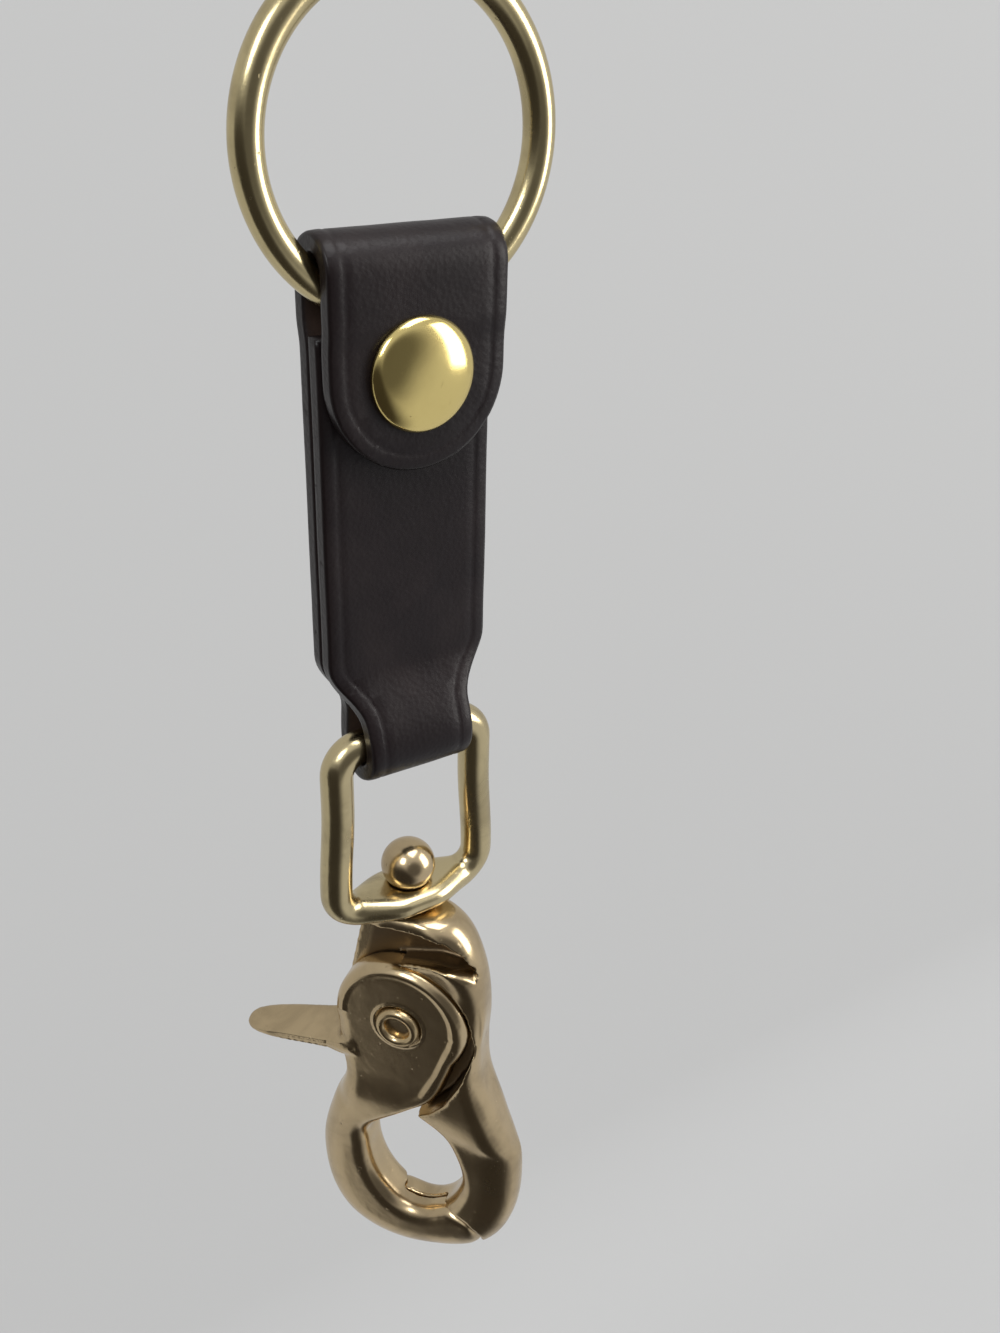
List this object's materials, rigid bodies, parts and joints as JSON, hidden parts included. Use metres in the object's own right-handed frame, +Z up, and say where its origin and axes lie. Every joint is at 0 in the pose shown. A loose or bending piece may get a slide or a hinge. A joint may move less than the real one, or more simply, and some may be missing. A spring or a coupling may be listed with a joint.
{
  "type": "belt key clip",
  "caption": "Leather belt strap with a press-stud flap round a key ring and a swivelling scissor snap hook",
  "frame": {"origin": "centre of the key ring", "axes": "+Z up as the clip hangs from its key ring, X across the strap, -Y to the front, where the press stud's cap is"},
  "size_m": [0.044, 0.0419, 0.2164],
  "materials": {
    "brass": "cast and polished solid brass, mellowed",
    "leather": "very dark brown bridle leather, burnished edges",
    "spring_steel": "bright spring wire"
  },
  "bodies": {
    "ring": {"key_ring": "brass"},
    "strap_body": {"strap": "leather", "snap_stud": "brass", "stud_post": "brass"},
    "flap_body": {"flap": "leather", "snap_cap": "brass", "cap_post": "brass", "snap_socket": "brass", "socket_spring": "spring_steel"},
    "eye": {"swivel_eye": "brass"},
    "hook": {"hook_body": "brass", "swivel_pin": "brass", "pivot_rivet": "brass", "jaw_spring": "spring_steel"},
    "jaw": {"trigger_jaw": "brass"}
  },
  "joints": [
    {"name": "strap_slide", "type": "hinge", "parent": "ring", "child": "strap_body", "pos_m": [0, 0, 0], "axis": [0, 1, 0], "continuous": true},
    {"name": "flap_open", "type": "hinge", "parent": "strap_body", "child": "flap_body", "pos_m": [0, -0.0049, -0.01457], "axis": [-1, 0, 0], "range_deg": [0, 100]},
    {"name": "eye_swing", "type": "hinge", "parent": "strap_body", "child": "eye", "pos_m": [0, 0, -0.08297], "axis": [1, 0, 0], "range_deg": [-125, 125]},
    {"name": "hook_swivel", "type": "hinge", "parent": "eye", "child": "hook", "pos_m": [0, 0, -0.10747], "axis": [0, 0, 1], "continuous": true},
    {"name": "jaw_open", "type": "hinge", "parent": "hook", "child": "jaw", "pos_m": [0, 0, -0.13782], "axis": [0.788, 0.6157, 0], "range_deg": [0, 38], "stiffness_Nm_per_rad": 0.15, "springref_deg": -45.84}
  ]
}
